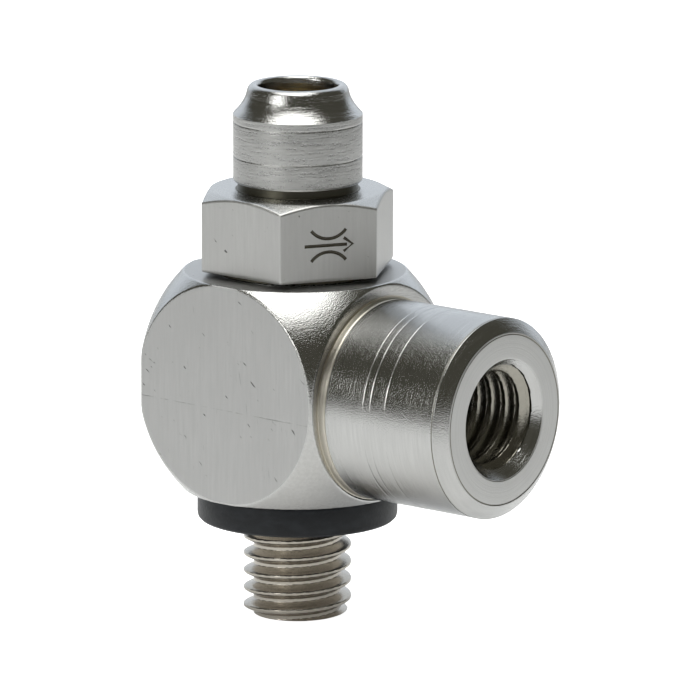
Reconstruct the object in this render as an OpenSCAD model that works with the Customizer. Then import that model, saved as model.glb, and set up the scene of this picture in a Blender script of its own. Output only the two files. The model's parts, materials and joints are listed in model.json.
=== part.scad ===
// Miniature swivelling flow control valve: a hollow stem screws into the
// cylinder, the banjo body turns about it, and a needle meters the flow.
// Origin: centre of the seat plane. +Z runs up the stem, +X out of the side port.

/* [Male thread] */
// Radius over the crests of the male thread
thread_r = 2.45; // [2.40:0.01:2.49]
// Distance from one thread crest to the next
thread_pitch = 0.8; // [0.7:0.05:0.9]
// Depth of the thread groove
thread_depth = 0.45; // [0.35:0.01:0.49]
// Length of the threaded shank below the seat plane
shank_len = 4.45; // [3.8:0.05:6]
// Size of the 45 degree chamfer at the shank's end
shank_chamfer = 0.55; // [0.3:0.05:0.6]

/* [Seal washer] */
// Outer radius of the seal washer
washer_r = 4.55; // [4.2:0.05:4.8]
// Thickness of the seal washer
washer_h = 1.35; // [1.0:0.05:1.5]

/* [Banjo body] */
// Width across the body's flats
body_w = 10.06; // [9.8:0.02:10.4]
// Height of the body
body_h = 10; // [9.8:0.05:10.2]
// Radius of the ball that rounds the body's corners
corner_r = 7.12; // [7.0:0.01:7.2]
// How far the ball's centre lies behind the stem axis
corner_back = 0.15; // [0:0.05:0.3]
// Height of the side port's axis above the seat plane
port_z = 6.2; // [6.1:0.05:6.4]
// Distance of the side port's face from the stem axis
port_x = 12; // [11:0.1:14]
// Radius of the side boss
boss_r = 4.55; // [4.3:0.05:4.6]
// Radius of the female thread's crests
port_r = 2.1; // [2.05:0.01:2.13]
// Depth of the female thread
port_depth = 5.5; // [5:0.1:5.7]
// Radius of the countersink at the port's mouth
port_mouth_r = 2.76; // [2.6:0.02:2.9]
// Radius of the drilled passage behind the thread
passage_r = 1.25; // [1:0.05:1.4]

/* [Hexagon and collar] */
// Width across the hexagon's flats
hex_af = 8; // [7.8:0.1:8.2]
// Height of the hexagon
hex_h = 3.55; // [3.2:0.05:4]
// Outer radius of the round collar
collar_r = 2.93; // [2.8:0.01:3]
// Height of the rim's top above the seat plane
top_z = 20; // [19.9:0.05:20.2]
// Radius of the open hole in the rolled rim
rim_hole_r = 1.8; // [1.7:0.05:1.85]

/* [Needle] */
// Radius over the needle's thread
needle_thread_r = 1.5; // [1.4:0.02:1.52]
// Pitch of the needle's fine thread
needle_pitch = 0.35; // [0.3:0.05:0.4]
// Radius of the needle's head
needle_head_r = 1.88; // [1.84:0.01:1.9]
// Radius of the orifice that the needle closes
orifice_r = 0.55; // [0.5:0.05:0.6]
// Width of the screwdriver slot
slot_w = 0.5; // [0.4:0.05:0.6]
// Depth of the screwdriver slot
slot_depth = 0.8; // [0.6:0.05:1]

/* [Hidden] */
$fn = 96;
nickel = [0.70, 0.69, 0.66];
bare_brass = [0.80, 0.66, 0.38];
black_rubber = [0.09, 0.09, 0.10];
cut = 0.2;                                  // how far a cutting tool overshoots

// body and the bore that it turns on
body_z = washer_h + 0.08;
body_top = body_z + body_h;
ball_z = body_z + body_h / 2;
bore_r = 3.6;
face_x = body_w / 2 - 0.06;                 // turned face at the root of the boss
root_r = 0.12;                              // fillet from that face to the boss
boss_chamfer = 0.45;
boss_face_r = boss_r - 0.62;
port_drill_x = port_x - port_depth - 0.4;
port_thread_depth = 0.4;
port_lead_in = 0.9;                         // from the face to the outermost groove

// stem, from the bottom up
neck_r = 2.1;                               // relief between thread and shoulder
washer_hole_r = thread_r + 0.05;
land_r = bore_r - 0.05;
waist_r = 2.8;
lower_groove_z = 2.0;
upper_groove_z = 8.4;
groove_h = 1.1;
groove_r = 2.75;
lower_ports_z = 3.72;
lower_port_r = 0.3;
upper_port_r = 0.5;
waist_z = 3.4;
flange_z = 5.05;
flange_h = 0.25;
flange_r = 3.3;
upper_land_z = 7.3;
hex_face_z = body_top + 0.1;
hex_face_r = 3.9;
hex_z = hex_face_z + 0.12;
hex_top = hex_z + hex_h;
hex_r = hex_af / 2 / cos(30);
hex_flat_r = 3.92;                          // where the chamfer of the top corners starts
hex_chamfer_angle = 28;
undercut_h = 0.4;
undercut_r = 2.72;
shoulder_z = top_z - 1.35;                  // where the rolled cone starts

// hollow of the stem
seat_z = 4.3;
seat_h = 0.8;
needle_room_r = 1.1;
needle_bore_r = needle_thread_r + 0.03;
needle_bore_z = 7.6;
gland_r = 1.95;
gland_z = 12.1;
rim_z = top_z - 0.6;

// needle, resting on its seat
tip_z = seat_z + 0.1;
tip_r = 0.15;
cone_top = 5.85;
needle_shank_r = 0.9;
needle_thread_depth = 0.19;
needle_thread_z = 7.8;
needle_thread_top = 11.6;
needle_neck_r = 1.28;
head_z = gland_z + 0.25;
head_top = 17.4;
head_chamfer = 0.15;
ring_groove_z = head_z + 0.85;
ring_groove_h = 0.95;
ring_groove_r = 1.35;

// One ridge of a thread cut as rings, as [radius, height] points: flank, crest, flank.
function ridge(crest_z, crest_r, pitch, depth) =
    let (crest = pitch / 16, root = pitch / 2 - pitch / 8)
    [[crest_r - depth, crest_z - root], [crest_r, crest_z - crest],
     [crest_r, crest_z + crest], [crest_r - depth, crest_z + root]];

// Ridges from low_z upwards, their crests a pitch apart.
function ridges(low_z, count, crest_r, pitch, depth) =
    [for (i = [0 : count - 1]) each ridge(low_z + i * pitch, crest_r, pitch, depth)];

// Arc from one angle to another, as [radius, height] points.
function arc(r, z, size, from, to, steps) =
    [for (i = [0 : steps]) let (a = from + (to - from) * i / steps)
        [r + size * cos(a), z + size * sin(a)]];

// A cylinder hidden inside others that cuts a stretch of a bore.
module bored(r, z_low, z_high) {
    translate([0, 0, z_low]) cylinder(r = r, h = z_high - z_low);
}

// Two holes straight through, square to each other: four ports around the stem.
module cross_ports(r, z) {
    for (turn = [0, 90])
        translate([0, 0, z]) rotate([0, 90, turn])
            translate([0, 0, -bore_r]) cylinder(r = r, h = 2 * bore_r, $fn = 32);
}

// A round ring squeezed flat where it meets its groove and its bore.
module squeezed_ring(r_in, r_out, height) {
    rotate_extrude() translate([(r_in + r_out) / 2, 0]) intersection() {
        circle(r = height / 2, $fn = 32);
        square([r_out - r_in, height + cut], center = true);
    }
}

module shank_and_lands() {
    crest_z = -thread_pitch / 16;
    turns = floor(shank_len / thread_pitch);
    low_crest = crest_z - turns * thread_pitch;
    thread_root_r = thread_r - thread_depth;
    difference() {
        rotate_extrude() polygon(concat(
            [[0, -shank_len], [thread_root_r, -shank_len]],
            ridges(low_crest, turns, thread_r, thread_pitch, thread_depth),
            [[thread_root_r, crest_z - thread_pitch * 3 / 8], [thread_r, crest_z - thread_pitch / 16],
             [thread_r, 0], [neck_r, 0.12], [neck_r, washer_h], [land_r, washer_h],
             [land_r, lower_groove_z], [groove_r, lower_groove_z],
             [groove_r, lower_groove_z + groove_h], [land_r, lower_groove_z + groove_h],
             [land_r, waist_z], [waist_r, waist_z], [waist_r, flange_z],
             [flange_r, flange_z], [flange_r, flange_z + flange_h],
             [waist_r, flange_z + flange_h], [waist_r, upper_land_z],
             [land_r, upper_land_z], [land_r, upper_groove_z],
             [groove_r, upper_groove_z], [groove_r, upper_groove_z + groove_h],
             [land_r, upper_groove_z + groove_h], [land_r, hex_face_z],
             [hex_face_r, hex_face_z], [hex_face_r, hex_z + cut], [0, hex_z + cut]]));
        // the chamfer that leads the thread in
        rotate_extrude() polygon([
            [thread_r - shank_chamfer, -shank_len], [thread_r - shank_chamfer, -shank_len - cut],
            [thread_r + cut, -shank_len - cut], [thread_r + cut, -shank_len + shank_chamfer + cut]]);
    }
}

module hexagon() {
    reach = hex_r + cut;
    reach_z = hex_top - (reach - hex_flat_r) * tan(hex_chamfer_angle);
    intersection() {
        translate([0, 0, hex_z]) cylinder(r = hex_r, h = hex_h, $fn = 6);
        rotate_extrude() polygon([
            [0, hex_z - cut], [reach, hex_z - cut],
            [reach, reach_z], [hex_flat_r, hex_top], [0, hex_top]]);
    }
}

module collar() {
    collar_z = hex_top + undercut_h;
    rotate_extrude() polygon(concat(
        [[0, hex_top - cut], [undercut_r, hex_top - cut], [undercut_r, collar_z],
         [collar_r - 0.06, collar_z], [collar_r, collar_z + 0.06], [collar_r, shoulder_z]],
        // concave sweep up from the shoulder, then the rounded lip
        arc(collar_r + 0.06, top_z - 0.35, 0.75, 232, 187, 6),
        arc(2.04, top_z - 0.2, 0.2, 15, 90, 4),
        [[rim_hole_r + 0.1, top_z], [rim_hole_r, top_z - 0.1], [0, top_z - 0.1]]));
}

module hollow_stem() {
    color(nickel) difference() {
        union() {
            shank_and_lands();
            hexagon();
            collar();
        }
        bored(passage_r, -shank_len - cut, seat_z + seat_h);
        bored(needle_room_r, seat_z, needle_bore_z + cut);
        bored(needle_bore_r, needle_bore_z, gland_z + cut);
        bored(gland_r, gland_z, rim_z);
        bored(rim_hole_r, gland_z, top_z + cut);
        cross_ports(lower_port_r, lower_ports_z);
        cross_ports(upper_port_r, port_z);
    }
}

// Shapes turned about the side port's axis; points are [radius, distance along X].
module turned_about_port(points) {
    translate([0, 0, port_z]) rotate([0, 90, 0]) rotate_extrude() polygon(points);
}

module banjo_body() {
    color(nickel) difference() {
        union() {
            intersection() {
                translate([-body_w / 2, -body_w / 2, body_z])
                    cube([body_w / 2 + face_x, body_w, body_h]);
                translate([-corner_back, 0, ball_z]) rotate([0, 90, 0]) sphere(r = corner_r);
            }
            turned_about_port(concat(
                [[0, 0], [boss_r, 0]],
                arc(boss_r + root_r, face_x + root_r, root_r, 250, 180, 4),
                [[boss_r, port_x - boss_chamfer], [boss_face_r, port_x], [0, port_x]]));
        }
        bored(bore_r, body_z - cut, body_top + cut);
        // female thread: tapped hole, its grooves, the countersink and the drilled passage
        turned_about_port([
            [0, 0], [passage_r, 0], [passage_r, port_drill_x - 0.6],
            [port_r, port_drill_x], [port_r, port_x - port_mouth_r + port_r],
            [port_mouth_r + cut, port_x + cut], [0, port_x + cut]]);
        for (x = [port_x - port_depth : thread_pitch : port_x - port_lead_in])
            turned_about_port([
                [port_r - cut, x - thread_pitch * 0.5], [port_r, x - thread_pitch * 0.375],
                [port_r + port_thread_depth, x - thread_pitch / 16],
                [port_r + port_thread_depth, x + thread_pitch / 16],
                [port_r, x + thread_pitch * 0.375], [port_r - cut, x + thread_pitch * 0.5]]);
    }
}

module seat_ring() {
    color(bare_brass) rotate_extrude() polygon([
        [orifice_r, seat_z + 0.15], [orifice_r + 0.15, seat_z], [passage_r, seat_z],
        [passage_r, seat_z + seat_h], [orifice_r, seat_z + seat_h]]);
}

module metering_needle() {
    turns = floor((needle_thread_top - needle_thread_z) / needle_pitch);
    color(bare_brass) difference() {
        rotate_extrude() polygon(concat(
            [[0, tip_z], [tip_r, tip_z], [needle_shank_r, cone_top],
             [needle_shank_r, needle_thread_z]],
            ridges(needle_thread_z + needle_pitch / 2, turns, needle_thread_r,
                   needle_pitch, needle_thread_depth),
            [[needle_neck_r, needle_thread_top], [needle_neck_r, head_z],
             [needle_head_r, head_z], [needle_head_r, ring_groove_z],
             [ring_groove_r, ring_groove_z], [ring_groove_r, ring_groove_z + ring_groove_h],
             [needle_head_r, ring_groove_z + ring_groove_h], [needle_head_r, head_top - head_chamfer],
             [needle_head_r - head_chamfer, head_top], [0, head_top]]));
        translate([-needle_head_r - cut, -slot_w / 2, head_top - slot_depth])
            cube([2 * (needle_head_r + cut), slot_w, slot_depth + cut]);
    }
}

module needle_o_ring() {
    color(black_rubber) translate([0, 0, ring_groove_z + ring_groove_h / 2])
        squeezed_ring(ring_groove_r + 0.02, gland_r - 0.02, ring_groove_h - 0.05);
}

module stem_o_ring(z) {
    color(black_rubber) translate([0, 0, z + groove_h / 2])
        squeezed_ring(groove_r, bore_r - 0.02, groove_h - 0.05);
}

module upper_o_ring() {
    stem_o_ring(upper_groove_z);
}

module lower_o_ring() {
    stem_o_ring(lower_groove_z);
}

// U-shaped seal whose lips open downwards: it blocks flow upwards and folds in for flow down.
module check_lip_seal() {
    lip_z = waist_z + 0.65;
    vee_z = lip_z + 0.5;
    lip_out = bore_r - 0.03;
    color(black_rubber) rotate_extrude() polygon([
        [waist_r, lip_z + 0.06], [waist_r + 0.18, lip_z], [waist_r + 0.33, vee_z],
        [waist_r + 0.46, vee_z], [lip_out - 0.14, lip_z], [lip_out, lip_z + 0.06],
        [flange_r + 0.05, flange_z - 0.1], [flange_r - 0.05, flange_z], [waist_r, flange_z]]);
}

module seal_washer() {
    edge = 0.25;
    color(black_rubber) rotate_extrude() polygon(concat(
        [[washer_hole_r, 0], [washer_r - edge, 0]],
        arc(washer_r - edge, edge, edge, -60, 0, 4),
        arc(washer_r - 0.12, washer_h - 0.12, 0.12, 0, 90, 4),
        [[washer_hole_r, washer_h]]));
}

hollow_stem();
banjo_body();
seat_ring();
metering_needle();
needle_o_ring();
upper_o_ring();
lower_o_ring();
check_lip_seal();
seal_washer();
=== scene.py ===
"""Looks of the miniature flow control valve. Every piece is rebuilt as a fine mesh from the frame's
sizes. Shapes are worked out in mm and turned into metres in make()."""
import json
import math

import bmesh
import bpy
import numpy as np
from mathutils import Matrix, Vector


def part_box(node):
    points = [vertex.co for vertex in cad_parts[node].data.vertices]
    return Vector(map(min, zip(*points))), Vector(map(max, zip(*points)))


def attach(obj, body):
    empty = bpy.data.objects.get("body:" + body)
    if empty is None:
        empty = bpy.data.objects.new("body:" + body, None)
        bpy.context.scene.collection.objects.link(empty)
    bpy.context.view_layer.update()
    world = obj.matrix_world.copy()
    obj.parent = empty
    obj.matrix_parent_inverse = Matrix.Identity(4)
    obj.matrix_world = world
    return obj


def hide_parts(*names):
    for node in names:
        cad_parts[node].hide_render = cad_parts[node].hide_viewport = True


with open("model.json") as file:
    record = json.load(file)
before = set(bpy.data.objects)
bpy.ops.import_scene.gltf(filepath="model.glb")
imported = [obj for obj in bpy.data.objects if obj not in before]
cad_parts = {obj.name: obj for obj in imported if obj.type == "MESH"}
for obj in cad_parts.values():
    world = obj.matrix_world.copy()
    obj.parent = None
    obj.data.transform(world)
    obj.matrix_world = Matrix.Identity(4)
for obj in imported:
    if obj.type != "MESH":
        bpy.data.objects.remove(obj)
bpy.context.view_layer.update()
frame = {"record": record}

MM = 0.001
TURN = 2 * math.pi
RECORD = frame["record"]
MOUNT = {m["name"]: m for m in RECORD["mounts"]}


# ---------------------------------------------------------------- sizes, in mm
def mm_box(node):
    """Lowest and highest corner of a CAD node, in mm."""
    low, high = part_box(node)
    return low / MM, high / MM


STEM_LOW, STEM_HIGH = mm_box("hollow_stem")
BODY_LOW, BODY_HIGH = mm_box("banjo_body")
WASHER_LOW, WASHER_HIGH = mm_box("seal_washer")
SEAT_LOW, SEAT_HIGH = mm_box("seat_ring")
NEEDLE_LOW, NEEDLE_HIGH = mm_box("metering_needle")
NEEDLE_RING_LOW, NEEDLE_RING_HIGH = mm_box("needle_o_ring")
LIP_LOW, LIP_HIGH = mm_box("check_lip_seal")

# threads
M5_PITCH = 0.8
THREAD_R = MOUNT["cylinder_port_thread"]["dims"]["r_mm"]
THREAD_DEPTH = 0.46
THREAD_PHASE = -1.34          # height of a crest on the side that the port points to
SHANK_END = STEM_LOW.z
PORT_THREAD_R = MOUNT["side_port"]["dims"]["r_mm"]
PORT_THREAD_DEPTH = 0.4
PORT_Z = MOUNT["side_port"]["pos_m"][2] / MM
PORT_MOUTH_R = 2.76
PORT_DEPTH = 5.5
PASSAGE_R = SEAT_HIGH.x
NEEDLE_PITCH = 0.35
NEEDLE_THREAD_R = 1.5
NEEDLE_BORE_R = NEEDLE_THREAD_R + 0.03
NEEDLE_ROOM_R = 1.1
NEEDLE_GROOVE_R = 1.35

# banjo body
HALF_W = BODY_HIGH.y
BACK_X = BODY_LOW.x
FRONT_X = HALF_W - 0.06
BALL_R = 7.12
BALL = Vector((-0.15, 0, (BODY_LOW.z + BODY_HIGH.z) / 2))
BORE_R = LIP_HIGH.x + 0.03
BOSS_R = 4.55
BOSS_FACE_R = 3.93
BOSS_CHAMFER = 0.45
BOSS_END = BODY_HIGH.x

# stem, from the bottom up
NECK_R = 2.1                        # relief between thread and shoulder
LAND_R = BORE_R - 0.05
GROOVE_R = 2.75
GROOVE_H = 1.1
LOWER_GROOVE_Z = 2.0
UPPER_GROOVE_Z = 8.4
WAIST_R = 2.8
WAIST_LOW = 3.4
WAIST_TOP = 7.3
FLANGE_R = 3.3                      # the rib over the lip seal
FLANGE_TOP = LIP_HIGH.z + 0.25
HEX_FACE_R = 3.9
HEX_FACE_H = 0.12
HEX_APOTHEM = STEM_HIGH.y
HEX_Z = BODY_HIGH.z + 0.22
HEX_TOP = HEX_Z + 3.55
HEX_FLAT_R = 3.92
HEX_CHAMFER = math.radians(28)
SYMBOL_TURN = math.radians(-30)     # to the hexagon flat between +X and -Y
UNDERCUT_R = 2.72
COLLAR_R = 2.93
COLLAR_Z = HEX_TOP + 0.4
TOP_Z = STEM_HIGH.z
SHOULDER_Z = TOP_Z - 1.35

# hollow of the stem
RIM_HOLE_R = 1.8
RIM_Z = TOP_Z - 0.6
GLAND_R = NEEDLE_RING_HIGH.x + 0.02
GLAND_Z = 12.1
NEEDLE_BORE_Z = 7.6
ORIFICE_R = 0.55


# ---------------------------------------------------------------- mesh tools
EASE_STEPS = 3                      # spans that a rounded corner is drawn with
JOIN_DISTANCE = 0.0004 * MM
SHARP_ANGLE = math.radians(32)


def rounded(corners):
    """Outline through (radius, height, rounding) corners, each eased over its rounding length."""
    points = []
    last = len(corners) - 1
    for i, (r, z, ease) in enumerate(corners):
        corner = np.array((r, z))
        if ease == 0 or i in (0, last):
            points.append(corner)
            continue
        before = np.array(corners[i - 1][:2]) - corner
        after = np.array(corners[i + 1][:2]) - corner
        reach = min(ease, 0.45 * np.linalg.norm(before), 0.45 * np.linalg.norm(after))
        start = corner + before / np.linalg.norm(before) * reach
        end = corner + after / np.linalg.norm(after) * reach
        for t in np.linspace(0, 1, EASE_STEPS + 1):
            points.append((1 - t) ** 2 * start + 2 * t * (1 - t) * corner + t ** 2 * end)
    return points


def around(radius, height, angles):
    """One row of points round Z: radius and height are numbers, or one number for each angle."""
    radius = np.broadcast_to(radius, angles.shape)
    height = np.broadcast_to(height, angles.shape)
    return np.stack([radius * np.cos(angles), radius * np.sin(angles), height], -1)


def around_port(radius, x, angles):
    """One row of points round the side port's axis, its angle measured from +Y towards +Z."""
    row = around(radius, x, angles)
    return np.stack([row[:, 2], row[:, 0], row[:, 1] + PORT_Z], -1)


def lathe_rows(corners, angles, place=around):
    """Rows of points for an outline of (radius, height, rounding) corners turned round an axis."""
    return [place(r, z, angles) for r, z in rounded(corners)]


def banded_rows(corners, angles, place=around):
    """Lathe rows, and the slot of the band that starts at each row. A corner's fourth value is the
    slot of what lies from it to the next corner."""
    slots = []
    for i, corner in enumerate(corners):
        plain = corner[2] == 0 or i in (0, len(corners) - 1)
        slots += [corner[3]] * (1 if plain else EASE_STEPS + 1)
    return lathe_rows([corner[:3] for corner in corners], angles, place), slots


def strip(rows, slots=0, closed=False):
    """Rows of equal length, joined row to row and round, as (points, faces, slot of each face)."""
    count, width = len(rows), len(rows[0])
    bands = count if closed else count - 1
    slots = [slots] * bands if isinstance(slots, int) else slots
    faces, marks = [], []
    for i in range(bands):
        low, high = i * width, (i + 1) % count * width
        for j in range(width):
            k = (j + 1) % width
            faces.append((low + j, low + k, high + k, high + j))
            marks.append(slots[i])
    return np.concatenate(rows), faces, marks


def join_close(mesh):
    """Joins points that lie on each other, drops faces with no area and turns faces outwards."""
    work = bmesh.new()
    work.from_mesh(mesh)
    bmesh.ops.remove_doubles(work, verts=work.verts, dist=JOIN_DISTANCE)
    bmesh.ops.dissolve_degenerate(work, edges=work.edges, dist=JOIN_DISTANCE)
    bmesh.ops.recalc_face_normals(work, faces=work.faces)
    work.to_mesh(mesh)
    work.free()


def make(name, strips, materials):
    """One closed mesh object from strips that share their borders."""
    points, faces, marks, start = [], [], [], 0
    for part, part_faces, part_marks in strips:
        points.append(part)
        faces += [tuple(v + start for v in face) for face in part_faces]
        marks += part_marks
        start += len(part)
    mesh = bpy.data.meshes.new(name)
    mesh.from_pydata((np.concatenate(points) * MM).tolist(), [], faces)
    for material in materials:
        mesh.materials.append(material)
    mesh.polygons.foreach_set("material_index", marks)
    join_close(mesh)
    piece = bpy.data.objects.new(name, mesh)
    bpy.context.scene.collection.objects.link(piece)
    crisp(piece)
    return piece


def crisp(piece):
    """Smooth shading, with hard edges where faces meet at more than the sharp angle."""
    piece.data.shade_smooth()
    piece.data.set_sharp_from_angle(angle=SHARP_ANGLE)


def cut(piece, cutters):
    """Takes the cutters out of the piece for good."""
    for cutter in cutters:
        tool = piece.modifiers.new("cut", "BOOLEAN")
        tool.operation = "DIFFERENCE"
        tool.solver = "EXACT"
        tool.material_mode = "TRANSFER"
        tool.object = cutter
    graph = bpy.context.evaluated_depsgraph_get()
    mesh = bpy.data.meshes.new_from_object(piece.evaluated_get(graph))
    piece.modifiers.clear()
    join_close(mesh)
    piece.data = mesh
    for cutter in cutters:
        bpy.data.objects.remove(cutter)
    crisp(piece)


def tube(name, path, radius, material, sides=14):
    """A closed round bar along a path, for use as a cutter that leaves its material behind."""
    path = [np.array(p, float) for p in path]
    angles = np.linspace(0, TURN, sides, endpoint=False)
    rows = []
    for i, point in enumerate(path):
        ahead = path[min(i + 1, len(path) - 1)] - path[max(i - 1, 0)]
        ahead /= np.linalg.norm(ahead)
        side = np.cross(ahead, (0.31, 0.17, 0.93))
        side /= np.linalg.norm(side)
        up = np.cross(ahead, side)
        ring = point + radius * (np.outer(np.cos(angles), side) + np.outer(np.sin(angles), up))
        rows.append(ring)
    rows = [np.repeat(path[:1], sides, 0), *rows, np.repeat(path[-1:], sides, 0)]
    return make(name, [strip(rows)], [material])


def crest_share(phase, crest=0.06, root=0.09, soft=0.55):
    """How far down from crest (0) to root (1) a thread's flank is, at a phase counted in turns."""
    off = np.abs(phase - np.round(phase))
    straight = np.clip((off - crest) / (0.5 - crest - root), 0, 1)
    return (1 - soft) * straight + soft * (0.5 - 0.5 * np.cos(math.pi * straight))


def finish_piece(piece, node, body):
    """Hides the CAD node that the piece stands for, and hangs the piece on the body it rides on."""
    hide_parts(node)
    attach(piece, body)
    return piece


# ---------------------------------------------------------------- materials
class Nodes:
    """Short calls for building a material's node tree in row-frame coordinates."""

    def __init__(self, name):
        self.material = bpy.data.materials.new(name)
        self.material.use_nodes = True
        self.tree = self.material.node_tree
        self.shader = self.tree.nodes["Principled BSDF"]
        self.place = self.tree.nodes.new("ShaderNodeTexCoord").outputs["Object"]

    def link(self, source, target):
        """Joins an output socket to an input socket."""
        self.tree.links.new(source, target)

    def stretched(self, scale, turn=0.0):
        """Row-frame coordinates turned about Y by an angle in degrees, then multiplied along X, Y
        and Z, counted in mm."""
        node = self.tree.nodes.new("ShaderNodeMapping")
        node.vector_type = "TEXTURE"
        node.inputs["Scale"].default_value = [MM / s for s in scale]
        node.inputs["Rotation"].default_value = (0, math.radians(turn), 0)
        self.link(self.place, node.inputs["Vector"])
        return node.outputs["Vector"]

    def line_height(self, slope):
        """Height above the row frame's XY plane less the slope along X, and the place along Y."""
        split = self.tree.nodes.new("ShaderNodeSeparateXYZ")
        self.link(self.place, split.inputs[0])
        rise = self.math("MULTIPLY", split.outputs["X"], slope)
        return self.math("SUBTRACT", split.outputs["Z"], rise), split.outputs["Y"]

    def rings(self, per_mm):
        """Noise that changes only with the distance from the side port's axis."""
        node = self.tree.nodes.new("ShaderNodeMapping")
        node.inputs["Location"].default_value = (0, 0, -PORT_Z * MM)
        node.inputs["Scale"].default_value = (0, 1, 1)
        self.link(self.place, node.inputs["Vector"])
        length = self.tree.nodes.new("ShaderNodeVectorMath")
        length.operation = "LENGTH"
        self.link(node.outputs["Vector"], length.inputs[0])
        noise = self.tree.nodes.new("ShaderNodeTexNoise")
        noise.noise_dimensions = "1D"
        noise.inputs["Scale"].default_value = per_mm / MM
        noise.inputs["Detail"].default_value = 3.0
        self.link(length.outputs["Value"], noise.inputs["W"])
        return noise.outputs["Fac"]

    def noise(self, scale, detail=3.0, rough=0.5, offset=0.0, turn=0.0):
        """Noise that changes scale times per mm along X, Y and Z. offset picks another pattern."""
        node = self.tree.nodes.new("ShaderNodeTexNoise")
        node.noise_dimensions = "4D"
        node.inputs["W"].default_value = offset
        node.inputs["Scale"].default_value = 1.0
        node.inputs["Detail"].default_value = detail
        node.inputs["Roughness"].default_value = rough
        self.link(self.stretched(scale, turn), node.inputs["Vector"])
        return node.outputs["Fac"]

    def range(self, value, low, high, out_low=0.0, out_high=1.0):
        """The value carried over from low..high to out_low..out_high, and held at both ends."""
        node = self.tree.nodes.new("ShaderNodeMapRange")
        numbers = {"From Min": low, "From Max": high, "To Min": out_low, "To Max": out_high}
        for key, number in numbers.items():
            node.inputs[key].default_value = number
        self.link(value, node.inputs["Value"])
        return node.outputs["Result"]

    def math(self, operation, a, b):
        """One sum of two sockets or numbers."""
        node = self.tree.nodes.new("ShaderNodeMath")
        node.operation = operation
        for socket, value in zip(node.inputs, (a, b)):
            if isinstance(value, (int, float)):
                socket.default_value = value
            else:
                self.link(value, socket)
        return node.outputs[0]

    def mix(self, factor, a, b):
        """Colour a where the factor is 0, b where it is 1."""
        node = self.tree.nodes.new("ShaderNodeMix")
        node.data_type = "RGBA"
        self.link(factor, node.inputs["Factor"])
        for key, colour in (("A", a), ("B", b)):
            socket = [s for s in node.inputs if s.name == key and s.type == "RGBA"][0]
            if isinstance(colour, tuple):
                socket.default_value = (*colour, 1)
            else:
                self.link(colour, socket)
        return [s for s in node.outputs if s.type == "RGBA"][0]

    def bump(self, height, size_mm, below=None):
        """Relief whose full height is size_mm."""
        node = self.tree.nodes.new("ShaderNodeBump")
        node.inputs["Strength"].default_value = 1.0
        node.inputs["Distance"].default_value = size_mm * MM
        self.link(height, node.inputs["Height"])
        if below is not None:
            self.link(below, node.inputs["Normal"])
        return node.outputs["Normal"]


def plated(name, colour, roughness, grain, grain_mm, speckle_mm, speckle=8.0, worn=0.06,
           ringed=False):
    """Nodes, colour and relief of nickel plate. grain is how fast the tool marks change along X, Y
    and Z, per mm, and grain_mm and speckle_mm are how deep the tool marks and the plating's
    unevenness are. ringed makes the marks rings of a facing tool about the side port's axis."""
    n = Nodes(name)
    streaks = n.rings(16.0) if ringed else n.noise(grain, detail=4.0, rough=0.6)
    grit = n.noise((speckle,) * 3, detail=3.0, rough=0.65, offset=3.1)
    cloud = n.noise((0.5, 0.5, 0.5), detail=2.0, offset=7.7)
    darker, darkest = (tuple(c * (1 - times * worn) for c in colour) for times in (1, 2))
    tone = n.mix(n.range(cloud, 0.35, 0.65), darker, colour)
    tone = n.mix(n.range(streaks, 0.35, 0.65, 1.0, 0.0), tone, darkest)
    n.link(tone, n.shader.inputs["Base Color"])
    uneven = n.math("ADD", n.range(streaks, 0.3, 0.7, -0.04, 0.04),
                    n.range(grit, 0.3, 0.7, -0.03, 0.03))
    n.link(n.math("ADD", uneven, roughness), n.shader.inputs["Roughness"])
    relief = n.bump(grit, speckle_mm, n.bump(streaks, grain_mm))
    n.link(relief, n.shader.inputs["Normal"])
    n.shader.inputs["Metallic"].default_value = 1.0
    return n, tone, relief


def nickel(*settings, **more):
    """A finished nickel material, from the same settings as plated."""
    return plated(*settings, **more)[0].material


def milled_nickel(name, colour, nicks_from, scratch_z=None):
    """Drawn flats: fine vertical grain, and slanting nicks where a slow noise passes nicks_from.
    scratch_z adds a faint broken scratch across the -Y flat."""
    n, tone, relief = plated(name, colour, 0.40, (7, 7, 0.5), 0.003, 0.0035, worn=0.05)
    dark = tuple(c * 0.30 for c in colour)
    nicks = n.range(n.noise((6.5, 6.5, 2.0), detail=1.0, offset=11.3, turn=-48), 0.70, 0.74)
    few = n.range(n.noise((0.9, 0.9, 0.9), detail=1.0, offset=4.4), nicks_from, nicks_from + 0.06)
    marks = n.math("MULTIPLY", nicks, few)
    hairs = n.range(n.noise((14, 14, 0.9), detail=2.0, offset=21.0, turn=-8), 0.70, 0.76, 0.0, 0.35)
    marks = n.math("MAXIMUM", marks, hairs)
    if scratch_z is not None:
        height, depth = n.line_height(-0.01)
        off = n.math("ABSOLUTE", n.math("SUBTRACT", height, scratch_z * MM), 0.0)
        broken = n.range(n.noise((2.2, 2.2, 2.2), detail=3.0, offset=9.0), 0.44, 0.60)
        broken = n.math("MULTIPLY", broken, n.math("LESS_THAN", depth, 0.0))
        line = n.range(off, 0.0, 0.028 * MM, 0.5, 0.0)
        marks = n.math("MAXIMUM", marks, n.math("MULTIPLY", line, broken))
    n.link(n.mix(marks, tone, dark), n.shader.inputs["Base Color"])
    n.link(n.bump(n.math("MULTIPLY", marks, -1.0), 0.012, relief), n.shader.inputs["Normal"])
    return n.material


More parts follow.
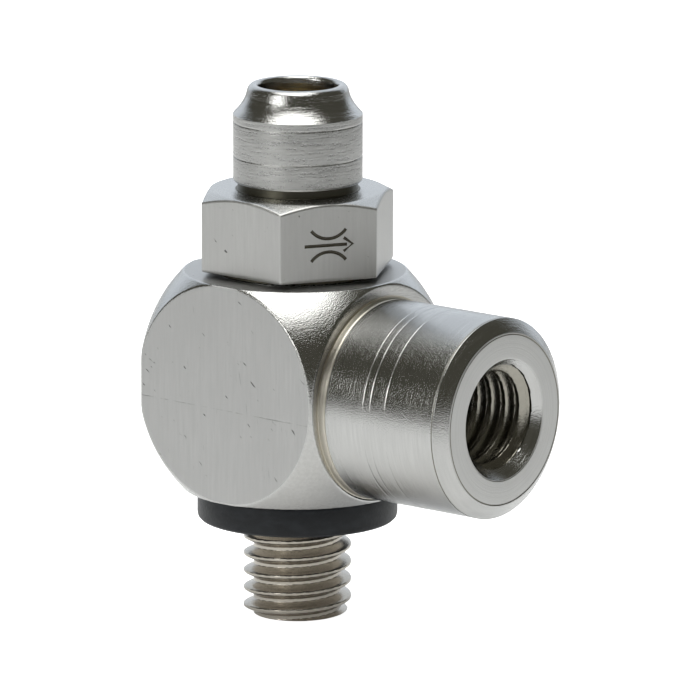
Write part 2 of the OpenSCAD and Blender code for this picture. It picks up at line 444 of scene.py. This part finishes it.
def brass(name):
    """Machined brass with fine rings from the tool."""
    n = Nodes(name)
    rings = n.noise((0.4, 0.4, 14), detail=3.0)
    cloud = n.noise((0.8, 0.8, 0.8), detail=2.0, offset=2.0)
    tone = n.mix(n.range(cloud, 0.35, 0.65), (0.62, 0.43, 0.17), (0.80, 0.60, 0.28))
    n.link(tone, n.shader.inputs["Base Color"])
    n.link(n.range(rings, 0.3, 0.7, 0.22, 0.36), n.shader.inputs["Roughness"])
    n.link(n.bump(rings, 0.006), n.shader.inputs["Normal"])
    n.shader.inputs["Metallic"].default_value = 1.0
    return n.material


def rubber(name, colour, pale, roughness):
    """Moulded rubber: near black, with a dusty bloom and a fine grain."""
    n = Nodes(name)
    grain = n.noise((9, 9, 9), detail=4.0, rough=0.65)
    bloom = n.noise((1.1, 1.1, 2.4), detail=3.0, offset=5.0)
    n.link(n.mix(n.range(bloom, 0.42, 0.72), colour, pale), n.shader.inputs["Base Color"])
    gloss = n.range(grain, 0.3, 0.7, roughness - 0.07, roughness + 0.07)
    n.link(gloss, n.shader.inputs["Roughness"])
    n.link(n.bump(grain, 0.012), n.shader.inputs["Normal"])
    n.shader.inputs["Specular IOR Level"].default_value = 0.3
    return n.material


PLATE = (0.57, 0.57, 0.56)
MILLED = milled_nickel("nickel_milled", (0.52, 0.52, 0.515), 0.47, BALL.z - 0.67)
HEX_FLAT = milled_nickel("nickel_hexagon", PLATE, 0.55)
TURNED_X = nickel("nickel_turned_boss", PLATE, 0.13, (9, 0.5, 0.5), 0.012, 0.014, speckle=15)
TURNED_Z = nickel("nickel_turned_stem", PLATE, 0.26, (0.4, 0.4, 12), 0.006, 0.008)
COLLAR = nickel("nickel_turned_collar", PLATE, 0.29, (0.7, 0.7, 9), 0.017, 0.024, speckle=11,
                worn=0.14)
ROLLED = nickel("nickel_rolled_rim", PLATE, 0.15, (0.7, 0.7, 8), 0.026, 0.014, speckle=11)
BALL_CUT = nickel("nickel_corner", PLATE, 0.13, (6, 6, 6), 0.004, 0.015, speckle=14)
FACED = nickel("nickel_faced", PLATE, 0.36, (2, 2, 2), 0.006, 0.008, speckle=12, ringed=True)
SUNK = nickel("nickel_countersink", PLATE, 0.15, (9, 0.5, 0.5), 0.010, 0.014, speckle=10)
# dark nickel for the fine groove before the boss's chamfer and the ring groove on its face: painted
# shade, drawn as dark lines
GROOVE_PAINTED_SHADE = nickel("nickel_edge", (0.24, 0.23, 0.20), 0.45, (3, 3, 3), 0.004, 0.008)
ROOT = nickel("nickel_boss_root", (0.58, 0.55, 0.48), 0.32, (9, 0.5, 0.5), 0.006, 0.006)
THREADED = nickel("nickel_thread", (0.50, 0.465, 0.41), 0.20, (3, 3, 3), 0.004, 0.010, speckle=12)
# darker nickel inside the tapped hole, its drilled end and the passage: painted shade of the hole
TAPPED_PAINTED_SHADE = nickel("nickel_tapped", (0.36, 0.345, 0.30), 0.18, (3, 3, 3), 0.004, 0.012, speckle=12)
# near-black nickel in the undercut under the collar and on the washer face under the hexagon: painted
# shade in these gaps
UNDERCUT_PAINTED_SHADE = nickel("nickel_undercut", (0.12, 0.115, 0.09), 0.34, (0.5, 0.5, 12), 0.008, 0.012)
# dark nickel that the symbol's cutters leave on the engraved grooves: painted shade in the grooves
SYMBOL_PAINTED_SHADE = nickel("nickel_stained", (0.16, 0.15, 0.12), 0.55, (3, 3, 3), 0.004, 0.008)
BRASS = brass("brass")
SEAL = rubber("seal_rubber", (0.020, 0.020, 0.022), (0.035, 0.035, 0.038), 0.42)
WASHER = rubber("washer_rubber", (0.006, 0.0075, 0.010), (0.014, 0.017, 0.021), 0.42)


# ---------------------------------------------------------------- stem
def hexagon_angles():
    """Angles round Z, closer together at the hexagon's six corners."""
    offsets = [0, 0.35, 0.7, 1.1, 1.7, 2.8, 4.6, 7.2, 10.5, 14, 18, 22, 26, 30]
    half = offsets + [60 - o for o in reversed(offsets[1:-1])]
    return np.radians([60 * k + o for k in range(6) for o in half])


def hexagon_radius(angles, ease=0.1):
    """Distance from the axis to the hexagon's side, its corners rounded to the radius ease."""
    step = TURN / 6
    off = np.abs(angles - np.round(angles / step) * step)
    flat = HEX_APOTHEM / np.cos(step / 2 - off)
    centre = (HEX_APOTHEM - ease) / math.cos(step / 2)
    tangent = math.atan2(ease * math.sin(step / 2), centre + ease * math.cos(step / 2))
    inside = np.maximum(ease ** 2 - (centre * np.sin(off)) ** 2, 0)
    return np.where(off < tangent, centre * np.cos(off) + np.sqrt(inside), flat)


def male_thread_rows(angles):
    """The shank from its rounded end up to the seat plane, as a right-hand helix."""
    end_r, end_w, end_h = 1.75, 0.72, 0.45
    rows = []
    for z in np.arange(SHANK_END, 0.001, M5_PITCH / 30):
        phase = (z - THREAD_PHASE) / M5_PITCH - angles / TURN
        radius = THREAD_R - THREAD_DEPTH * crest_share(phase)
        share = min((z - SHANK_END) / end_h, 1)
        lead_in = end_r + end_w * math.sqrt(1 - (1 - share) ** 2)
        rows.append(around(np.minimum(radius, lead_in), z, angles))
    return rows


def hexagon_rows(angles):
    """Underside, the six flats with their chamfered top corners, and the top face."""
    side = hexagon_radius(angles)
    slope = math.tan(HEX_CHAMFER)
    shoulder = HEX_TOP - (side - HEX_FLAT_R) * slope
    ease = 0.05
    inner = np.maximum(side - 2 * ease, HEX_FLAT_R + 0.06)
    corners = [
        (side - 0.08, HEX_Z), (side - 0.03, HEX_Z + 0.03), (side, HEX_Z + 0.12), (side, HEX_Z + 0.20),
        (side, (HEX_Z + shoulder) / 2), (side, shoulder - 2 * ease), (side, shoulder - ease),
        (side - 0.3 * ease, shoulder - 0.15 * ease), (side - ease, shoulder + ease * slope),
        (inner, HEX_TOP - (inner - HEX_FLAT_R) * slope), (HEX_FLAT_R + ease, HEX_TOP - ease * slope),
        (HEX_FLAT_R - ease, HEX_TOP), (HEX_FLAT_R - 0.12, HEX_TOP)]
    return [around(radius, height, angles) for radius, height in corners]


def groove(z):
    """Corners of a seal groove in the stem's land, from low to high."""
    top = z + GROOVE_H
    return [(LAND_R, z, 0.05), (GROOVE_R, z, 0.1), (GROOVE_R, top, 0.1), (LAND_R, top, 0.05)]


def stem_symbol():
    """Cutters for a throttle symbol on one hexagon flat: two arcs and a flow arrow between them."""
    normal = Vector((math.cos(SYMBOL_TURN), math.sin(SYMBOL_TURN), 0))
    along = Vector((-normal.y, normal.x, 0))
    centre = normal * HEX_APOTHEM + Vector((0, 0, HEX_Z + 1.68))

    def on_flat(points):
        """Points counted from the flat's middle, turned to row-frame coordinates."""
        return [centre + along * u + Vector((0, 0, v)) for u, v in points]

    reach, shaft_end, barb_u, barb_v = 1.15, 0.88, 0.72, 0.31
    arc_r, arc_gap, stroke_r = 1.05, 1.35, 0.075
    bend = np.radians(np.linspace(-52, 52, 15))
    strokes = [
        [(-reach, 0), (shaft_end, 0)],
        [(barb_u, barb_v), (reach, 0), (barb_u, -barb_v)],
        [(arc_r * math.sin(a), arc_gap - arc_r * math.cos(a)) for a in bend],
        [(arc_r * math.sin(a), arc_r * math.cos(a) - arc_gap) for a in bend],
    ]
    # the dark nickel left in the engraved strokes is painted shade
    return [tube(f"stroke_{i}", on_flat(stroke), stroke_r, SYMBOL_PAINTED_SHADE)
            for i, stroke in enumerate(strokes)]


def build_stem():
    """Thread, seal grooves, hexagon and rolled collar outside, gland and passage inside."""
    turned, threaded, flats, collar_slot, rolled, painted_shade_slot = range(6)
    angles = hexagon_angles()
    land_top = HEX_Z - HEX_FACE_H
    shank = [(THREAD_R - THREAD_DEPTH, 0.02, 0), (NECK_R, 0.14, 0.02), (NECK_R, WASHER_HIGH.z, 0.05),
             (LAND_R, WASHER_HIGH.z, 0.05)]
    waist = [(LAND_R, WAIST_LOW, 0.05), (WAIST_R, WAIST_LOW, 0.1), (WAIST_R, LIP_HIGH.z, 0.05),
             (FLANGE_R, LIP_HIGH.z, 0.05), (FLANGE_R, FLANGE_TOP, 0.05), (WAIST_R, FLANGE_TOP, 0.1),
             (WAIST_R, WAIST_TOP, 0.1), (LAND_R, WAIST_TOP, 0.05)]
    head = [(LAND_R, land_top, 0.03), (HEX_FACE_R, land_top, 0.05), (HEX_FACE_R, HEX_Z, 0)]
    shaft = shank + groove(LOWER_GROOVE_Z) + waist + groove(UPPER_GROOVE_Z) + head
    outside = lathe_rows(shaft, angles)[1:]
    undercut = [(COLLAR_R - 0.1, HEX_TOP, 0), (UNDERCUT_R, HEX_TOP, 0.06),
                (UNDERCUT_R, COLLAR_Z - 0.02, 0.05), (COLLAR_R - 0.05, COLLAR_Z, 0.04)]
    collar = [(COLLAR_R - 0.05, COLLAR_Z, 0), (COLLAR_R, COLLAR_Z + 0.07, 0.05)]
    for line_z in (COLLAR_Z + 1.16, SHOULDER_Z - 0.34):
        collar += [(COLLAR_R, line_z - 0.05, 0.01), (COLLAR_R - 0.022, line_z, 0.01),
                   (COLLAR_R, line_z + 0.05, 0.01)]
    collar += [(COLLAR_R, SHOULDER_Z - 0.02, 0.02)]
    hollow = [(COLLAR_R, SHOULDER_Z, 0), (2.60, SHOULDER_Z + 0.36, 0.25),
              (2.36, SHOULDER_Z + 0.80, 0.25), (2.27, TOP_Z - 0.16, 0.14), (2.12, TOP_Z, 0.10),
              (RIM_HOLE_R + 0.08, TOP_Z, 0.08), (RIM_HOLE_R, TOP_Z - 0.14, 0.05),
              (RIM_HOLE_R, RIM_Z, 0.03), (GLAND_R, RIM_Z, 0.05), (GLAND_R, GLAND_Z, 0.05),
              (NEEDLE_BORE_R, GLAND_Z - 0.1, 0.02), (NEEDLE_BORE_R, NEEDLE_BORE_Z, 0.05),
              (NEEDLE_ROOM_R, NEEDLE_BORE_Z, 0.05), (NEEDLE_ROOM_R, SEAT_HIGH.z, 0.03),
              (PASSAGE_R, SEAT_HIGH.z, 0.03),
              (PASSAGE_R, SHANK_END + 0.15, 0.05), (PASSAGE_R + 0.15, SHANK_END, 0)]
    thread = male_thread_rows(angles)
    hexagon = hexagon_rows(angles)
    # the washer face under the hexagon and the undercut below the collar take the near-black nickel:
    # painted shade
    parts = [(thread, threaded), (outside[:-5], turned), (outside[-5:], painted_shade_slot),
             (hexagon[:-4], flats), (hexagon[-4:], turned), (lathe_rows(undercut, angles), painted_shade_slot),
             (lathe_rows(collar, angles), collar_slot), (lathe_rows(hollow, angles), rolled)]
    rows = [row for part, _ in parts for row in part]
    slots = [slot for part, slot in parts for _ in part]
    finishes = [TURNED_Z, THREADED, HEX_FLAT, COLLAR, ROLLED, UNDERCUT_PAINTED_SHADE]
    stem = make("stem", [strip(rows, slots, closed=True)], finishes)
    cut(stem, stem_symbol())
    return finish_piece(stem, "hollow_stem", "stem")


# ---------------------------------------------------------------- banjo body
EDGE_SHARES = np.linspace(-1, 1, 37)[:-1]


def face_outline(low, high):
    """Points round a box face, counted from its middle: the same shares along every edge."""
    (u0, v0), (u1, v1) = low, high
    share = (EDGE_SHARES + 1) / 2
    corners = [(u0, v0), (u1, v0), (u1, v1), (u0, v1)]
    sides = zip(corners, corners[1:] + corners[:1])
    return np.concatenate([np.outer(1 - share, a) + np.outer(share, b) for a, b in sides])


def face_rows(depth, low, high):
    """Rows of one face of the ball-cornered cube, from its flat's rim out to the box's edges.
    Each row is (u, v, depth) from the ball's centre."""
    outline = face_outline(low, high)
    reach = np.linalg.norm(outline, axis=1)
    flat_r = math.sqrt(BALL_R ** 2 - depth ** 2)
    rim = np.minimum(flat_r, reach)
    ease = 0.06

    def row(distance, lowered=0.0):
        """One row, at a distance from the face's middle, lowered towards the ball's centre."""
        lowered = np.where(distance < reach, lowered, 0.0)
        distance = np.minimum(distance, reach)
        flat = np.column_stack([outline * (distance / reach)[:, None], np.full(len(reach), depth)])
        size = np.linalg.norm(flat, axis=1)
        return flat * (np.minimum(1, BALL_R / size) * (1 - lowered / size))[:, None]

    past = rim + 2.2 * ease
    rows = [row(rim - 2.2 * ease), row(rim - ease), row(rim, 0.2 * ease), row(rim + ease), row(past)]
    rows += [row(past + (reach - rim - 2.2 * ease).clip(0) * t) for t in (0.2, 0.4, 0.6, 0.8, 1.0)]
    return rows, np.arctan2(outline[:, 1], outline[:, 0])


def placed(rows, axes):
    """Rows of (u, v, depth) turned to row-frame axes and moved to the ball's centre."""
    return [row @ np.array(axes, float) + np.array(BALL) for row in rows]


def disc_rows(rows, centre, inner_r, angles, axes, count=3):
    """Flat rows that fill from a circle on the face to the face's first row."""
    depth = rows[0][0, 2]
    circle = around(inner_r, depth, angles) + (*centre, 0)
    fill = [circle + (rows[0] - circle) * t for t in np.linspace(0, 1, count + 1)[:-1]]
    return placed(fill, axes)


def port_thread_rows(angles):
    """The tapped hole, from the countersink's mouth inwards, as a right-hand helix."""
    rows = []
    for x in np.arange(BOSS_END - 0.02, BOSS_END - PORT_DEPTH, -M5_PITCH / 26):
        phase = (x - BOSS_END) / M5_PITCH - angles / TURN + 0.15
        tapped = PORT_THREAD_R + PORT_THREAD_DEPTH * crest_share(phase, 0.09, 0.06)
        sunk = PORT_MOUTH_R - (BOSS_END - x)
        rows.append(around_port(np.maximum(tapped, sunk), x, angles))
    return rows


def build_body():
    """The ball-cornered cube with its bore, and the boss with its tapped hole."""
    flat, ball, turned, faced, tapped, root, sunk, edge = range(8)
    top, bottom = BODY_HIGH.z - BALL.z, BODY_LOW.z - BALL.z
    front, back = FRONT_X - BALL.x, BACK_X - BALL.x
    x, y, z = (1, 0, 0), (0, 1, 0), (0, 0, 1)
    minus_x, minus_y, minus_z = (-1, 0, 0), (0, -1, 0), (0, 0, -1)
    strips = []

    # plain faces: both sides and the back, filled to a point
    for depth, low, high, axes in (
            (HALF_W, (back, bottom), (front, top), (x, z, minus_y)),
            (HALF_W, (back, bottom), (front, top), (x, z, y)),
            (-back, (-HALF_W, bottom), (HALF_W, top), (y, z, minus_x))):
        rows, angles = face_rows(depth, low, high)
        fill = disc_rows(rows, (0, 0), 0.0, angles, axes, 6)
        rows = placed(rows, axes)
        strips.append(strip(fill + rows, [flat] * (len(fill) + 1) + [ball] * (len(rows) - 2)))

    # top and bottom, joined through the bore
    bore_x = -BALL.x
    ends = []
    for depth, axes in ((top, (x, y, z)), (-bottom, (x, y, minus_z))):
        rows, angles = face_rows(depth, (back, -HALF_W), (front, HALF_W))
        fill = disc_rows(rows, (bore_x, 0), BORE_R + 0.06, angles, axes)
        rows = placed(rows, axes)
        strips.append(strip(fill + rows, [flat] * (len(fill) + 1) + [ball] * (len(rows) - 2)))
        ends.append(fill[0])
    heights = np.linspace(BODY_HIGH.z - 0.06, BODY_LOW.z + 0.06, 6)
    bore = [around(BORE_R, height, angles) for height in heights]
    strips.append(strip([ends[0], *bore, ends[1]], ball))

    # the face that the boss stands on, the boss and the tapped hole
    axes = (y, z, x)
    rows, angles = face_rows(front, (-HALF_W, bottom), (HALF_W, top))
    root_r = BOSS_R + 0.12
    fill = disc_rows(rows, (0, PORT_Z - BALL.z), root_r, angles, axes, 2)
    strips.append(strip(fill + placed(rows, axes), ball))
    root_x, edge_x = FRONT_X + 0.42, BOSS_END - BOSS_CHAMFER
    boss = [(root_r, FRONT_X, 0, root), (BOSS_R, FRONT_X, 0.11, root),
            (BOSS_R, root_x - 0.12, 0.02, root), (BOSS_R - 0.03, root_x - 0.08, 0.02, root),
            (BOSS_R - 0.03, root_x - 0.04, 0.02, root), (BOSS_R, root_x, 0, turned)]
    for line_x in (FRONT_X + 2.55, FRONT_X + 2.95, FRONT_X + 3.8):
        boss += [(BOSS_R, line_x - 0.05, 0.01, turned), (BOSS_R - 0.012, line_x, 0.01, turned),
                 (BOSS_R, line_x + 0.05, 0.01, turned)]
    # the dark nickel bands in the groove before the chamfer and in the face's ring groove are painted
    # shade lines
    boss += [(BOSS_R, edge_x - 0.20, 0, turned), (BOSS_R, edge_x - 0.12, 0, turned),
             (BOSS_R, edge_x - 0.10, 0, edge), (BOSS_R - 0.015, edge_x - 0.07, 0, edge),
             (BOSS_R, edge_x - 0.04, 0, turned), (BOSS_R, edge_x, 0.05, turned),
             (BOSS_FACE_R, BOSS_END, 0.04, faced), (BOSS_FACE_R - 0.05, BOSS_END, 0, edge),
             (BOSS_FACE_R - 0.08, BOSS_END - 0.02, 0, edge), (BOSS_FACE_R - 0.11, BOSS_END, 0, faced),
             (BOSS_FACE_R - 0.13, BOSS_END, 0, faced), (BOSS_FACE_R - 0.20, BOSS_END, 0, faced),
             (PORT_MOUTH_R + 0.04, BOSS_END, 0.03, faced), (PORT_MOUTH_R, BOSS_END - 0.02, 0, faced)]
    drill_end = BOSS_END - PORT_DEPTH - 0.4
    drilled = [(PORT_THREAD_R, BOSS_END - PORT_DEPTH - 0.03, 0), (PORT_THREAD_R, drill_end, 0.05),
               (0, drill_end - 1.2, 0)]
    boss_rows, slots = banded_rows(boss, angles, around_port)
    hole_rows = port_thread_rows(angles)
    deep_rows = lathe_rows(drilled, angles, around_port)
    sunk_rows = 14
    # the threads and drilled end inside the hole take the darker nickel: painted shade
    slots += [sunk] * sunk_rows + [tapped] * (len(hole_rows) + len(deep_rows) - sunk_rows - 1)
    strips.append(strip(boss_rows + hole_rows + deep_rows, slots))

    body = make("banjo", strips, [MILLED, BALL_CUT, TURNED_X, FACED, TAPPED_PAINTED_SHADE, ROOT, SUNK, GROOVE_PAINTED_SHADE])
    # the passage's walls take the darker nickel: painted shade inside the bore
    passage = [(BORE_R * 0.6, 0, PORT_Z), (drill_end - 0.1, 0, PORT_Z)]
    drill = tube("passage", passage, PASSAGE_R, TAPPED_PAINTED_SHADE, 48)
    cut(body, [drill])
    return finish_piece(body, "banjo_body", "banjo")


# ---------------------------------------------------------------- small pieces
EVEN = np.linspace(0, TURN, 128, endpoint=False)


def ring_piece(name, corners, material, node, body):
    """A ring of one closed outline turned round Z, in place of a CAD node."""
    rows = lathe_rows(corners + corners[:1], EVEN)[:-1]
    piece = make(name, [strip(rows, 0, closed=True)], [material])
    return finish_piece(piece, node, body)


def build_washer():
    """The flat seal washer, its outer edge rounder below than above."""
    hole = THREAD_R + 0.05
    low, high = WASHER_LOW.z, WASHER_HIGH.z
    outer = WASHER_HIGH.x
    corners = [((hole + outer) / 2, low, 0), (outer, low, 0.30), (outer, high, 0.12),
               (hole, high, 0.05), (hole, low, 0.05)]
    ring_piece("washer", corners, WASHER, "seal_washer", "stem")


def build_o_ring(name, node, body):
    """An O-ring squeezed between its groove and the bore."""
    low, high = mm_box(node)
    outer = high.x
    inner = GROOVE_R if body == "stem" else NEEDLE_GROOVE_R + 0.02
    ease = (high.z - low.z) * 0.42
    corners = [((inner + outer) / 2, low.z, 0), (outer, low.z, ease), (outer, high.z, ease),
               (inner, high.z, ease), (inner, low.z, ease)]
    ring_piece(name, corners, SEAL, node, body)


def build_lip_seal():
    """The non-return seal: its lip leans out to the bore, with a V between lip and foot."""
    low, high = LIP_LOW.z, LIP_HIGH.z
    outer = LIP_HIGH.x
    corners = [(WAIST_R + 0.09, low + 0.02, 0), (WAIST_R + 0.18, low, 0.05),
               (WAIST_R + 0.34, low + 0.5, 0.08), (WAIST_R + 0.46, low + 0.5, 0.08),
               (outer - 0.14, low, 0.04), (outer, low + 0.06, 0.05), (3.35, high - 0.1, 0.1),
               (3.25, high, 0.05), (WAIST_R, high, 0.05), (WAIST_R, low + 0.06, 0.05)]
    ring_piece("lip_seal", corners, SEAL, "check_lip_seal", "stem")


def build_seat_ring():
    """The pressed-in ring with the metering orifice."""
    corners = [(PASSAGE_R - 0.2, SEAT_LOW.z, 0), (PASSAGE_R, SEAT_LOW.z, 0.05),
               (PASSAGE_R, SEAT_HIGH.z, 0.05), (ORIFICE_R, SEAT_HIGH.z, 0.02),
               (ORIFICE_R, SEAT_LOW.z + 0.15, 0.05), (ORIFICE_R + 0.15, SEAT_LOW.z, 0.05)]
    ring_piece("orifice_ring", corners, BRASS, "seat_ring", "stem")


def build_needle():
    """Cone, shank, fine right-hand thread, and head with its ring groove and slot."""
    head_r, head_top = NEEDLE_HIGH.x, NEEDLE_HIGH.z
    tip_r, cone_top, shank_r, neck_r, head_z = 0.15, 5.85, 0.9, 1.28, 12.35
    thread_z, thread_top, depth, run_in, run_in_drop = 7.8, 11.6, 0.19, 0.25, 0.3
    tip = lathe_rows([(0, NEEDLE_LOW.z, 0), (tip_r, NEEDLE_LOW.z, 0.05), (shank_r, cone_top, 0.1),
                      (shank_r, thread_z, 0)], EVEN)
    thread = []
    for z in np.arange(thread_z, thread_top, NEEDLE_PITCH / 12):
        radius = NEEDLE_THREAD_R - depth * crest_share(z / NEEDLE_PITCH - EVEN / TURN)
        run_in_share = min((z - thread_z) / run_in, 1)
        thread.append(around(radius - (1 - run_in_share) * run_in_drop, z, EVEN))
    groove_low, groove_high = NEEDLE_RING_LOW.z - 0.025, NEEDLE_RING_HIGH.z + 0.025
    head = lathe_rows([(neck_r, thread_top, 0), (neck_r, head_z, 0.08), (head_r, head_z, 0.08),
                       (head_r, groove_low, 0.04), (NEEDLE_GROOVE_R, groove_low, 0.06),
                       (NEEDLE_GROOVE_R, groove_high, 0.06), (head_r, groove_high, 0.04),
                       (head_r, head_top, 0.15), (0, head_top, 0)], EVEN)
    needle = make("needle", [strip(tip + thread + head)], [BRASS])
    slot_half_w, slot_depth, overshoot = 0.25, 0.8, 0.3
    slot_box = np.array([(sx * (head_r + overshoot), sy * slot_half_w, head_top + dz)
                         for dz in (-slot_depth, overshoot)
                         for sx, sy in ((-1, -1), (1, -1), (1, 1), (-1, 1))])
    floor, roof = slot_box[:4], slot_box[4:]
    blade = [np.repeat(floor.mean(0)[None], 4, 0), floor, roof, np.repeat(roof.mean(0)[None], 4, 0)]
    cut(needle, [make("slot", [strip(blade)], [BRASS])])
    finish_piece(needle, "metering_needle", "needle")


build_stem()
build_body()
build_washer()
build_o_ring("upper_ring", "upper_o_ring", "stem")
build_o_ring("lower_ring", "lower_o_ring", "stem")
build_o_ring("needle_ring", "needle_o_ring", "needle_lift")
build_lip_seal()
build_seat_ring()
build_needle()


# ---------------------------------------------------------------- studio
AZIMUTH = math.radians(39.49)
RISE = math.radians(12.11)
ROLL = math.radians(0.13)
DISTANCE = 450 * MM
SENSOR = 36.0
LENS = 510.8
AIM_RIGHT = 2.37 * MM
AIM_UP = 1.50 * MM
FLOOR_CENTRE = (-35 * MM, -10 * MM, 0)
FLOOR_NEAR, FLOOR_FAR = 95 * MM, 135 * MM       # where the floor starts and stops dimming
GLOW_NEAR, GLOW_FAR = 0.20, 0.09
# floor colour near and far: a painted pool of light, pale near the object and dim away from it
PAINTED_LIGHT_NEAR, PAINTED_LIGHT_FAR = 0.85, 0.38
ROOM = (0.085, 0.082, 0.066)
BACKDROP = (0.84, 0.90, 0.97)
SOFT_BOX = (3.4, 3.4, 3.3)
SOFT_BOX_AIM = (0.05, -0.16, 0.985)
SIDE_PANEL = (5.0, 5.0, 4.9)
PANEL_TURN, PANEL_RISE = math.radians(-98), math.radians(20)
# shares along its own axis between which each light's edge fades in
BACKDROP_EDGE = (0.64, 0.76)
SOFT_BOX_EDGE = (0.872, 0.920)
PANEL_EDGE = (0.975, 0.985)


def toward(turn, rise):
    """Direction at an angle round Z from +X, and an angle above level."""
    return (math.cos(turn) * math.cos(rise), math.sin(turn) * math.cos(rise), math.sin(rise))


def build_camera():
    """The camera at the photo's viewing angle. It aims a little right of and above the point on
    the stem's axis at the side port's height."""
    level = math.cos(RISE)
    back = Vector((math.sin(AZIMUTH) * level, -math.cos(AZIMUTH) * level, math.sin(RISE)))
    right = Vector((math.cos(AZIMUTH), math.sin(AZIMUTH), 0))
    up = back.cross(right)
    place = Vector((0, 0, PORT_Z * MM)) + right * AIM_RIGHT + up * AIM_UP + back * DISTANCE
    data = bpy.data.cameras.new("camera")
    data.lens, data.sensor_width = LENS, SENSOR
    data.clip_end = 20
    camera = bpy.data.objects.new("camera", data)
    bpy.context.scene.collection.objects.link(camera)
    turn = Matrix((right, up, back)).transposed().to_4x4()
    camera.matrix_world = Matrix.Translation(place) @ turn @ Matrix.Rotation(ROLL, 4, "Z")
    bpy.context.scene.camera = camera


def build_floor():
    """A pale floor. The camera sees it washed out to white but for a faint shadow, and reflections
    see it dim with the distance from a point left of the object."""
    half = 3000 * MM
    mesh = bpy.data.meshes.new("floor")
    mesh.from_pydata([(-half, -half, 0), (half, -half, 0), (half, half, 0), (-half, half, 0)], [],
                     [(0, 1, 2, 3)])
    floor = bpy.data.objects.new("floor", mesh)
    floor.location.z = (SHANK_END - 0.02) * MM
    n = Nodes("floor")
    n.shader.inputs["Roughness"].default_value = 0.9
    n.shader.inputs["Emission Color"].default_value = (1, 1, 1, 1)
    reach = n.tree.nodes.new("ShaderNodeVectorMath")
    reach.operation = "DISTANCE"
    reach.inputs[1].default_value = FLOOR_CENTRE
    n.link(n.place, reach.inputs[0])
    reach = reach.outputs["Value"]
    seen = n.tree.nodes.new("ShaderNodeLightPath").outputs["Is Camera Ray"]
    # the floor's colour fades with the distance: painted light falling off around the object
    tone = n.range(reach, FLOOR_NEAR, FLOOR_FAR, PAINTED_LIGHT_NEAR, PAINTED_LIGHT_FAR)
    glow = n.range(reach, FLOOR_NEAR, FLOOR_FAR, GLOW_NEAR, GLOW_FAR)
    n.link(tone, n.shader.inputs["Base Color"])
    n.link(n.math("MAXIMUM", glow, seen), n.shader.inputs["Emission Strength"])
    mesh.materials.append(n.material)
    bpy.context.scene.collection.objects.link(floor)


def build_world():
    """A light tent: a white backdrop behind the object, a dim room in front of it, a soft box
    overhead and a small panel low on the left."""
    world = bpy.data.worlds.new("studio")
    bpy.context.scene.world = world
    world.use_nodes = True
    tree = world.node_tree
    link = tree.links.new
    direction = tree.nodes.new("ShaderNodeTexCoord").outputs["Generated"]

    def facing(axis, low, high, level=False):
        """0 to 1 as the direction's share along an axis goes from low to high. level leaves out
        how far up or down the direction points."""
        dot = tree.nodes.new("ShaderNodeVectorMath")
        dot.operation = "DOT_PRODUCT"
        dot.inputs[1].default_value = axis
        source = direction
        for operation in ("MULTIPLY", "NORMALIZE") if level else ():
            step = tree.nodes.new("ShaderNodeVectorMath")
            step.operation = operation
            step.inputs[1].default_value = (1, 1, 0)
            link(source, step.inputs[0])
            source = step.outputs["Vector"]
        link(source, dot.inputs[0])
        share = tree.nodes.new("ShaderNodeMapRange")
        share.interpolation_type = "SMOOTHSTEP"
        share.inputs["From Min"].default_value = low
        share.inputs["From Max"].default_value = high
        link(dot.outputs["Value"], share.inputs["Value"])
        return share.outputs["Result"]

    def over(share, below, above):
        """Light above laid over light below, by its share."""
        node = tree.nodes.new("ShaderNodeMix")
        node.data_type = "RGBA"
        link(share, node.inputs["Factor"])
        for socket, colour in zip([s for s in node.inputs if s.type == "RGBA"], (below, above)):
            if isinstance(colour, tuple):
                socket.default_value = (*colour, 1)
            else:
                link(colour, socket)
        return [s for s in node.outputs if s.type == "RGBA"][0]

    away = (-math.sin(AZIMUTH), math.cos(AZIMUTH), 0)
    light = over(facing(away, *BACKDROP_EDGE, level=True), ROOM, BACKDROP)
    light = over(facing(SOFT_BOX_AIM, *SOFT_BOX_EDGE), light, SOFT_BOX)
    light = over(facing(toward(PANEL_TURN, PANEL_RISE), *PANEL_EDGE), light, SIDE_PANEL)
    lit = tree.nodes["Background"]
    link(light, lit.inputs["Color"])
    plain = tree.nodes.new("ShaderNodeBackground")
    plain.inputs["Color"].default_value = (1, 1, 1, 1)
    choose = tree.nodes.new("ShaderNodeMixShader")
    link(tree.nodes.new("ShaderNodeLightPath").outputs["Is Camera Ray"], choose.inputs["Fac"])
    link(lit.outputs[0], choose.inputs[1])
    link(plain.outputs[0], choose.inputs[2])
    link(choose.outputs[0], tree.nodes["World Output"].inputs["Surface"])


build_camera()
build_floor()
build_world()
bpy.context.scene.view_settings.view_transform = "Standard"
